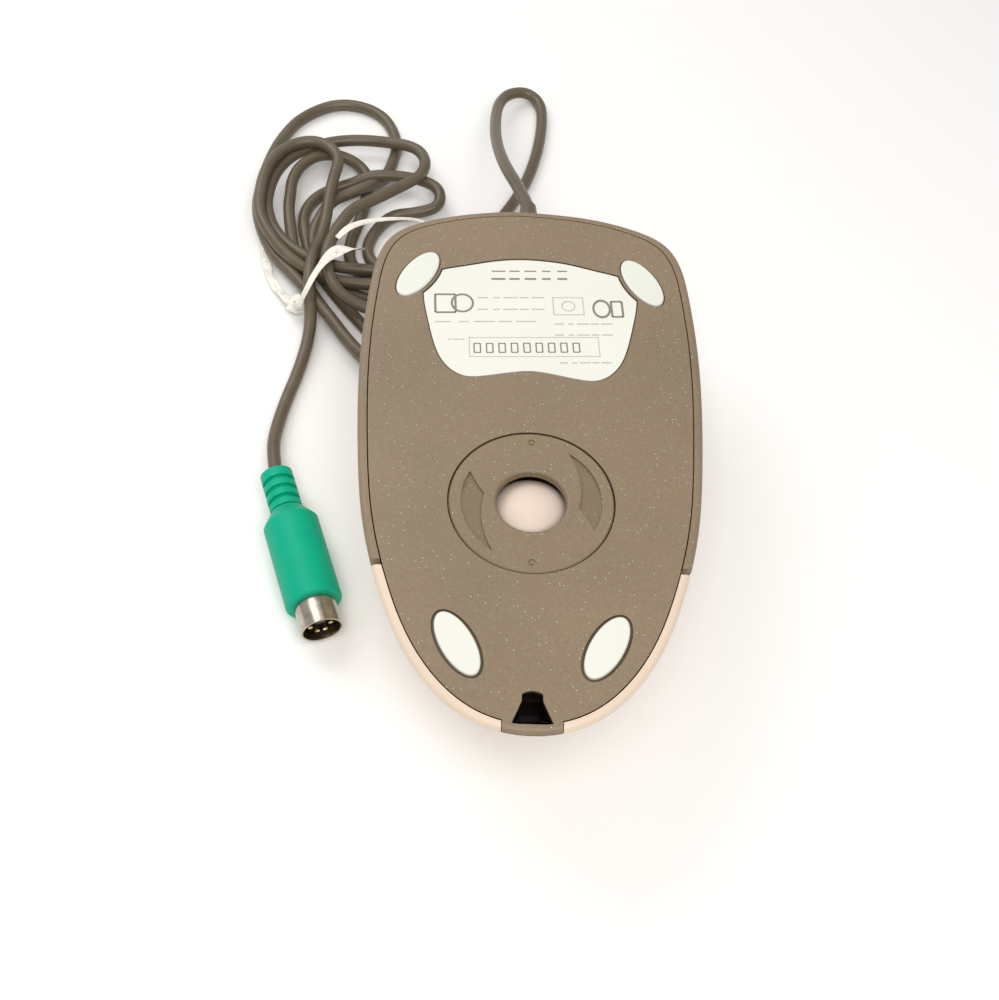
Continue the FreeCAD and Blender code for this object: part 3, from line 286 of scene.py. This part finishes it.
def plated_metal(name, colour, roughness):
    material, tree, shader = finish_material(name, colour, roughness, 0.5, 1.0)
    clouds = object_noise(tree, 420.0, 4.0)
    stained = tuple(c * 0.62 for c in colour)
    tree.links.new(ramp(tree, clouds, [(0.3, stained), (0.62, colour)]), shader.inputs["Base Color"])
    tree.links.new(spread(tree, clouds, roughness * 0.7, roughness * 1.5), shader.inputs["Roughness"])
    return material


def crumpled_paper():
    material, tree, shader = finish_material("tie_paper", (0.80, 0.76, 0.68), 0.55)
    crease_bumps_and_shade = object_noise(tree, 700.0, 5.0, 0.65)
    # The darker colour in the low spots of the crease noise is painted shade in the creases; the bump
    # makes the creases themselves.
    tree.links.new(ramp(tree, crease_bumps_and_shade, [(0.25, (0.55, 0.50, 0.42)), (0.5, (0.90, 0.87, 0.80))]),
                   shader.inputs["Base Color"])
    bumped(tree, shader, crease_bumps_and_shade, 0.6, 0.00025)
    return material


TAUPE_LIGHT = (0.262, 0.196, 0.126)
TAUPE_DARK = (0.214, 0.159, 0.101)
finishes = {
    "taupe_plastic": moulded_taupe("moulded_taupe", TAUPE_LIGHT, TAUPE_DARK),
    "cream_plastic": smooth_plastic("cream_shell", (0.74, 0.60, 0.47), 0.42),
    "foot_white": smooth_plastic("slip_pad_white", (0.76, 0.78, 0.71), 0.38, 0.03),
    "label_white": smooth_plastic("label_film", (0.78, 0.79, 0.72), 0.45, 0.03),
    "ball_rubber": smooth_plastic("ball_coat", (0.74, 0.615, 0.53), 0.5, 0.05),
    "steel": plated_metal("steel", (0.60, 0.60, 0.60), 0.3),
    "black_plastic": smooth_plastic("black_moulding", (0.018, 0.016, 0.014), 0.38),
    "white_plastic": smooth_plastic("white_moulding", (0.70, 0.70, 0.66), 0.45),
    "tyre_rubber": smooth_plastic("tyre_rubber", (0.055, 0.052, 0.05), 0.62),
    "board_green": smooth_plastic("solder_mask", (0.03, 0.17, 0.07), 0.3),
    "component_dark": smooth_plastic("component_black", (0.03, 0.03, 0.034), 0.4),
    "lens_clear": smooth_plastic("tinted_lens", (0.30, 0.12, 0.16), 0.12),
    "cord_taupe": cord_rubber(),
    "plug_green": smooth_plastic("plug_green", (0.0, 0.41, 0.245), 0.45, 0.12, 900.0, 0.00005, 0.2),
    "nickel": plated_metal("nickel_shell", (0.60, 0.54, 0.45), 0.22),
    "brass": plated_metal("brass_pins", (0.78, 0.62, 0.34), 0.25),
    "tie_white": crumpled_paper(),
}
# Taupe finish of the base shell, with painted shade added in the boxes below.
plate_finish_painted_shade = moulded_taupe("moulded_taupe_plate_painted_shade", TAUPE_LIGHT, TAUPE_DARK)
# Painted shade on the sunk floors of the plate's shallow recesses, such as the groove round the label.
painted_recess_shade(plate_finish_painted_shade, (0, 0, 36.2), (60, 62.2, 0.2), (0.36, 0.33, 0.29))
# Painted shadow: the plate walls inside the tail notch are made nearly black.
painted_recess_shade(plate_finish_painted_shade, (0, -59, 28.0), (4.2, 3.5, 7.9), (0.03, 0.024, 0.018))
# Painted shade on the tail rim behind the notch, darker where it curves away from the light.
painted_recess_shade(plate_finish_painted_shade, (0, -66, 34.0), (7, 2.6, 1.6), (0.55, 0.52, 0.48))
retainer_finish_painted_shade = moulded_taupe("moulded_taupe_retainer_painted_shade", TAUPE_LIGHT, TAUPE_DARK)
# Painted shade on the pocket floors of the ball ring, just under its face.
painted_recess_shade(retainer_finish_painted_shade, (0, -15.35, 35.8), (13.5, 13.5, 0.2), (0.86, 0.85, 0.84))
# Painted shadow: the cream snap hook seen inside the tail notch is made nearly black.
painted_recess_shade(finishes["cream_plastic"], (0, -54.8, 26.0), (2.6, 2.8, 3.8), (0.02, 0.017, 0.014))
own_finish = {"base_shell": plate_finish_painted_shade, "ball_ring": retainer_finish_painted_shade}
slot_of = {piece["node"]: piece["material_slot"] for piece in frame["record"]["subparts"]}
for name, node in nodes.items():
    if not node.material_slots:
        node.data.materials.append(None)
    for place in node.material_slots:
        place.material = own_finish.get(name, finishes[slot_of[name]])


def dress(piece, slot_name, body="casing"):
    """Gives a new piece its finish and the body that it rides on."""
    piece.data.materials.clear()
    piece.data.materials.append(finishes[slot_name])
    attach(piece, body)


# ---------------------------------------------------------------- floor
deselect()
bpy.ops.mesh.primitive_plane_add(size=6.0, location=(0, 0, 0))
floor = bpy.context.object
floor.name = "floor"
floor_finish, floor_tree, floor_shader = finish_material("pale_floor", (0.93, 0.93, 0.93), 0.7, 0.2)
tint = object_noise(floor_tree, 3.0)
floor_tree.links.new(ramp(floor_tree, tint, [(0.3, (0.92, 0.92, 0.92)), (0.7, (0.94, 0.94, 0.94))]),
                     floor_shader.inputs["Base Color"])
floor.data.materials.append(floor_finish)


# ---------------------------------------------------------------- cord
CORD_DIAMETER = 3.1
BOOT_MOUTH = (0, 72.45, 30.2)
EXIT_LOOP = [BOOT_MOUTH, (-1.9, 81.5, 27.6), (-5.4, 95.5, 22.2), (-7.4, 111, 16),
             (-7.6, 126.5, 10), (-6.7, 138.5, 6.2), (-3.8, 145.6, 4.2), (1.4, 148.6, 2.8),
             (5.8, 145.2, 1.9), (6.2, 136.5, 1.6), (4.7, 124, 1.6), (1.2, 110.5, 1.6),
             (-5.5, 97, 1.6), (-12, 87.5, 1.6), (-18.5, 79.5, 1.8)]
PLUG_LEAD = [(-52.3, 57.6, 3.9), (-52.5, 52.0, 2.5), (-54.0, 43.0, 1.6), (-56.2, 33.6, 1.7),
             (-57.4, 24.6, 2.6), (-57.3, 16.6, 4.6), (-55.4, 9.0, 6.1)]
# Each turn of the hank: the way in, then clockwise round a middle from a first heading in
# equal steps with a reach and a height at each, then the way out under the tie.
TURNS = [
    {"way_in": [(-26, 75, 4), (-36, 74, 4.7), (-46, 74.5, 4.7)],
     "middle": (-50, 104), "first": -100, "step": 25,
     "reach": (27.5, 23.5, 20, 17.5, 17, 17, 17, 18.5, 21.5, 27.5, 25, 16, 13, 13),
     "height": (4.7, 4.7, 4.7, 4.7, 4.7, 4.7, 4.7, 4.7, 4.7, 5.5, 7, 7.8, 7.8, 8.2),
     "way_out": [(-47.5, 85, 8.6), (-49.7, 78, 8.7), (-49.5, 70.5, 8.7), (-46, 63.5, 7.4),
                 (-38.5, 59.5, 6)]},
    {"way_in": [(-28, 59, 5.5), (-18, 56.5, 4.7), (-12.5, 50, 4.7), (-17, 43, 3.2), (-26, 42, 1.6),
                (-32, 47, 1.6), (-36, 54, 1.6), (-42, 61, 1.6), (-48, 69, 1.6), (-53.5, 77.5, 1.6)],
     "middle": (-42, 100), "first": -135, "step": 28,
     "reach": (20, 17, 14, 10.5, 8.5, 9, 11, 17),
     "height": (1.6, 1.6, 1.6, 1.6, 2.6, 4.4, 4.7, 4.7),
     "way_out": [(-21.8, 105, 4.4), (-21.8, 99, 3.6), (-28, 97.2, 2.8), (-35, 97, 1.8),
                 (-39.5, 89.5, 1.6), (-40.5, 82, 1.6), (-35.5, 76.5, 1.6)]},
    {"way_in": [(-26, 75, 1.6), (-15, 73.5, 1.6), (-5.5, 66, 1.6), (-3.5, 54.5, 1.6),
                (-9.5, 43.5, 1.6), (-22, 38.5, 1.6), (-35.5, 44, 1.6), (-42.5, 52, 1.6),
                (-48, 60.5, 1.6), (-54, 69.5, 1.6), (-58, 78, 1.6)],
     "middle": (-52, 100), "first": -130, "step": 26,
     "reach": (13.5, 10.5, 9.5, 11, 14, 17, 18, 16, 11, 10, 10.5),
     "height": (3.6, 4.7, 4.7, 4.7, 4.7, 4.7, 3, 1.6, 1.6, 1.6, 1.6),
     "way_out": [(-45, 86, 1.6), (-44.5, 79, 1.6), (-39, 73.5, 1.6)]},
    {"way_in": [(-29, 71.5, 1.6), (-18, 69.5, 1.6), (-9, 63, 1.6), (-7, 54.5, 2.2), (-10, 45, 4.4),
                (-21, 39.5, 4.8), (-34, 41, 4.7), (-42, 49.5, 4.7), (-48.3, 59, 4.7),
                (-53.5, 66.5, 3.9), (-59, 73.5, 3.8)],
     "middle": (-51, 113), "first": -113, "step": 26,
     "reach": (35.5, 26, 20, 18.5, 20, 24.5, 29, 27.5, 21.5, 16, 13.5, 13, 12.5, 15),
     "height": (3.4, 1.6, 1.6, 1.6, 1.6, 1.6, 1.6, 1.6, 1.6, 1.6, 1.6, 4.8, 4.7, 4.7),
     "way_out": [(-55.3, 86, 3.6), (-52, 79, 1.6), (-48, 72.5, 1.6), (-42.5, 68, 1.6)]},
    {"way_in": [(-35, 66, 1.6), (-25, 64, 2.2), (-15.5, 62.5, 4.8), (-8.5, 65.5, 5.2),
                (-11, 72, 5.2), (-20, 73, 4.9), (-30, 70.3, 4.7), (-39, 69, 4.7), (-47, 70, 4.7),
                (-54, 72.5, 4.9)],
     "middle": (-59, 98), "first": -96, "step": 26,
     "reach": (20.5, 14.5, 11.5, 10, 10.5, 13, 18, 21, 18, 10),
     "height": (6.2, 7.8, 7.8, 7.8, 7.8, 7.8, 7.8, 7.8, 7.8, 7.8),
     "way_out": [(-50.9, 97, 7.4), (-51.2, 90, 6), (-52.2, 83, 5.6), (-53.4, 76, 7.4),
                 (-53.6, 69, 7.4), (-52.8, 63, 5.8)]},
]


def hank_points(turns):
    """Points of the tied hank, turn after turn."""
    points = []
    for turn in turns:
        x, y = turn["middle"]
        points += turn["way_in"]
        for count, (reach, height) in enumerate(zip(turn["reach"], turn["height"])):
            heading = math.radians(turn["first"] - turn["step"] * count)
            points.append((x + reach * math.cos(heading), y + reach * math.sin(heading), height))
        points += turn["way_out"]
    return points


def nurbs_line(name, points, radius, sides=4):
    """Round cord along one smooth NURBS spline; points are in millimetres."""
    line = bpy.data.curves.new(name, "CURVE")
    line.dimensions = "3D"
    spline = line.splines.new("NURBS")
    spline.points.add(len(points) - 1)
    for point, place in zip(spline.points, points):
        point.co = (*(Vector(place) * MM), 1.0)
    spline.order_u = 3
    spline.use_endpoint_u = True
    spline.resolution_u = 7
    line.bevel_depth = radius * MM
    line.bevel_resolution = sides
    line.use_fill_caps = True
    piece = bpy.data.objects.new(name, line)
    bpy.context.scene.collection.objects.link(piece)
    return piece


cord = nurbs_line("mouse_cord", EXIT_LOOP + hank_points(TURNS) + PLUG_LEAD, CORD_DIAMETER / 2)
dress(cord, "cord_taupe")
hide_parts("cord_tube", "plug_lead", "cord_coil")


# ---------------------------------------------------------------- tie
SMOOTH_BELOW = 50.0       # degrees


def ribbon(name, points, tilts, widths, half_width, half_thick):
    """Flat strip along a line, with its own tilt in degrees and width share at each point."""
    deselect()
    bpy.ops.curve.primitive_nurbs_circle_add(radius=1.0)
    section = bpy.context.object
    section.scale = (half_width * MM, half_thick * MM, 1.0)
    bpy.ops.object.transform_apply(scale=True)
    strip = nurbs_line(name, points, 0.0)
    spline = strip.data.splines[0]
    for point, tilt, width in zip(spline.points, tilts, widths):
        point.tilt = math.radians(tilt)
        point.radius = width
    strip.data.twist_mode = "Z_UP"
    strip.data.bevel_mode = "OBJECT"
    strip.data.bevel_object = section
    deselect()
    strip.select_set(True)
    bpy.context.view_layer.objects.active = strip
    bpy.ops.object.convert(target="MESH")
    bpy.data.objects.remove(section)
    bpy.ops.object.shade_smooth_by_angle(angle=math.radians(SMOOTH_BELOW))
    return strip


over_hank = ribbon("tie_band", [(-55.8, 61.4, 3.6), (-54.6, 61.2, 7.4), (-53.2, 62.4, 9.9),
                                (-51.9, 65.4, 11.0), (-50.4, 68.9, 11.2), (-48.7, 72.0, 11.3),
                                (-46.6, 74.3, 11.2), (-44.2, 75.4, 10.9), (-41.8, 76.4, 9.9),
                                (-40.2, 78.0, 8.2)],
                   (60, 45, 20, 0, -10, 0, 12, -15, -45, -70),
                   (0.45, 0.5, 0.5, 0.6, 0.75, 1.15, 1.45, 1.05, 0.7, 0.4), 1.25, 0.13)
upper_end = ribbon("tie_upper_end", [(-47.2, 79.6, 10.2), (-45.4, 82.0, 10.7), (-43.3, 84.1, 10.5),
                                     (-40.0, 86.2, 10.0), (-36.2, 87.5, 9.6), (-32.4, 88.2, 9.4),
                                     (-28.6, 88.5, 9.2), (-25.4, 87.9, 9.0), (-24.6, 86.8, 9.0)],
                   (0, 10, 20, 35, 20, 40, 50, 40, 30),
                   (0.7, 0.9, 0.75, 0.6, 0.55, 0.4, 0.35, 0.35, 0.3), 1.0, 0.14)
left_end = ribbon("tie_left_end", [(-55.8, 61.6, 3.2), (-58.2, 64.2, 2.6), (-60.6, 67.2, 2.0),
                                   (-62.9, 70.6, 1.7), (-64.4, 73.6, 1.9), (-65.5, 76.8, 1.8),
                                   (-66.3, 80.2, 2.1), (-66.9, 83.6, 2.6)],
                  (20, -30, 25, -35, 30, -20, 40, 10), (0.9, 1.2, 0.9, 1.2, 0.8, 1.1, 0.8, 0.6), 1.05, 0.2)
knot = ribbon("tie_knot", [(-58.4, 62.6, 2.6), (-57.2, 61.0, 3.6), (-55.6, 61.8, 4.8),
                           (-56.0, 63.8, 5.0), (-57.8, 63.6, 4.2), (-57.6, 61.8, 3.0),
                           (-56.0, 60.8, 2.2), (-54.6, 61.8, 2.4)],
              (0, 50, 90, 150, 210, 260, 300, 340), (0.9, 1.2, 1.1, 1.2, 1.1, 1.2, 1.0, 0.6), 0.95, 0.4)
deselect()
for strip in (over_hank, upper_end, left_end, knot):
    strip.select_set(True)
bpy.context.view_layer.objects.active = over_hank
bpy.ops.object.join()
tie = over_hank
tie.name = "twist_tie"
dress(tie, "tie_white")
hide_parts("cord_tie")

# ---------------------------------------------------------------- print on the label
LABEL_FACE = 36.35
INK = 0.012


def printed(kind, x, y, wide, deep, lean, line=0.0):
    """Thin ink mark on the label: a filled bar, a square outline or a circle outline."""
    deselect()
    place = (x * MM, y * MM, (LABEL_FACE + INK) * MM)
    turn = (0, 0, math.radians(lean))
    if kind == "circle":
        bpy.ops.mesh.primitive_torus_add(location=place, rotation=turn, major_segments=40,
                                         minor_segments=8, major_radius=wide / 2 * MM,
                                         minor_radius=line / 2 * MM)
        mark = bpy.context.object
        mark.scale = (1.0, deep / wide, 2 * INK / line)
        bpy.ops.object.transform_apply(scale=True)
        return [mark]
    if kind == "bar":
        bpy.ops.mesh.primitive_cube_add(size=1.0, location=place, rotation=turn)
        mark = bpy.context.object
        mark.scale = (wide * MM, deep * MM, 2 * INK * MM)
        bpy.ops.object.transform_apply(scale=True)
        return [mark]
    marks = []
    slope = math.radians(lean)
    for shift_x, shift_y, w, d in ((0, deep / 2, wide, line), (0, -deep / 2, wide, line),
                                   (wide / 2, 0, line, deep), (-wide / 2, 0, line, deep)):
        marks += printed("bar", x + shift_x * math.cos(slope) - shift_y * math.sin(slope),
                         y + shift_x * math.sin(slope) + shift_y * math.cos(slope), w, d, lean)
    return marks


def together(name, pieces):
    """Joins the pieces into the first one and puts its origin at the world's."""
    deselect()
    for piece in pieces:
        piece.select_set(True)
    bpy.context.view_layer.objects.active = pieces[0]
    bpy.ops.object.join()
    whole = pieces[0]
    whole.name = name
    deselect()
    whole.select_set(True)
    bpy.ops.object.transform_apply(location=True, rotation=True, scale=True)
    return whole


SLANT = 3.0               # lean of the print, in degrees
RISE = 0.055              # the same lean as a slope
bold, faint = [], []
for step, wide in enumerate((3.1, 2.3, 2.6, 1.9, 2.2)):
    x = -7.1 + 3.55 * step
    bold += printed("bar", x, 43.6 + RISE * x, wide, 0.55, SLANT)
    bold += printed("bar", x, 45.9 + RISE * x, wide, 0.35, SLANT)
bold += printed("square", -18.6, 35.4, 4.4, 5.2, SLANT, 0.5)
bold += printed("circle", -14.9, 35.7, 4.6, 5.0, SLANT, 0.5)
bold += printed("circle", 15.6, 35.6, 3.6, 4.8, SLANT, 0.5)
bold += printed("square", 19.0, 35.7, 2.4, 4.4, SLANT, 0.5)
faint += printed("square", 8.3, 36.0, 6.6, 5.0, SLANT, 0.25)
faint += printed("circle", 8.3, 36.0, 2.8, 2.8, SLANT, 0.3)
for x, y, run in ((-4.4, 37.8, 14.4), (-4.4, 34.4, 14.4), (-10.0, 30.6, 21.4), (11.4, 31.0, 12.4),
                  (11.4, 27.9, 12.4), (-16.0, 25.3, 3.4), (11.6, 20.2, 10.8)):
    reach = run / 2
    for step, share in enumerate((0.16, 0.10, 0.22, 0.14, 0.20)):
        shift = (-0.84 + 0.42 * step) * reach
        faint += printed("bar", x + shift, y + RISE * shift, share * run, 0.35, SLANT)
faint += printed("square", 0.8, 24.0, 27.8, 5.3, SLANT, 0.22)
for step in range(9):
    x = -11.4 + 2.65 * step
    bold += printed("square", x, 23.75 + RISE * x, 1.35, 2.5, SLANT, 0.3)
bold_print = together("label_marks", bold)
faint_print = together("label_small_print", faint)
dress(bold_print, "black_plastic")
dress(faint_print, "black_plastic")
bold_print.data.materials[0] = finish_material("ink_grey", (0.22, 0.21, 0.18), 0.6)[0]
faint_print.data.materials[0] = finish_material("ink_faint", (0.5, 0.49, 0.45), 0.6)[0]
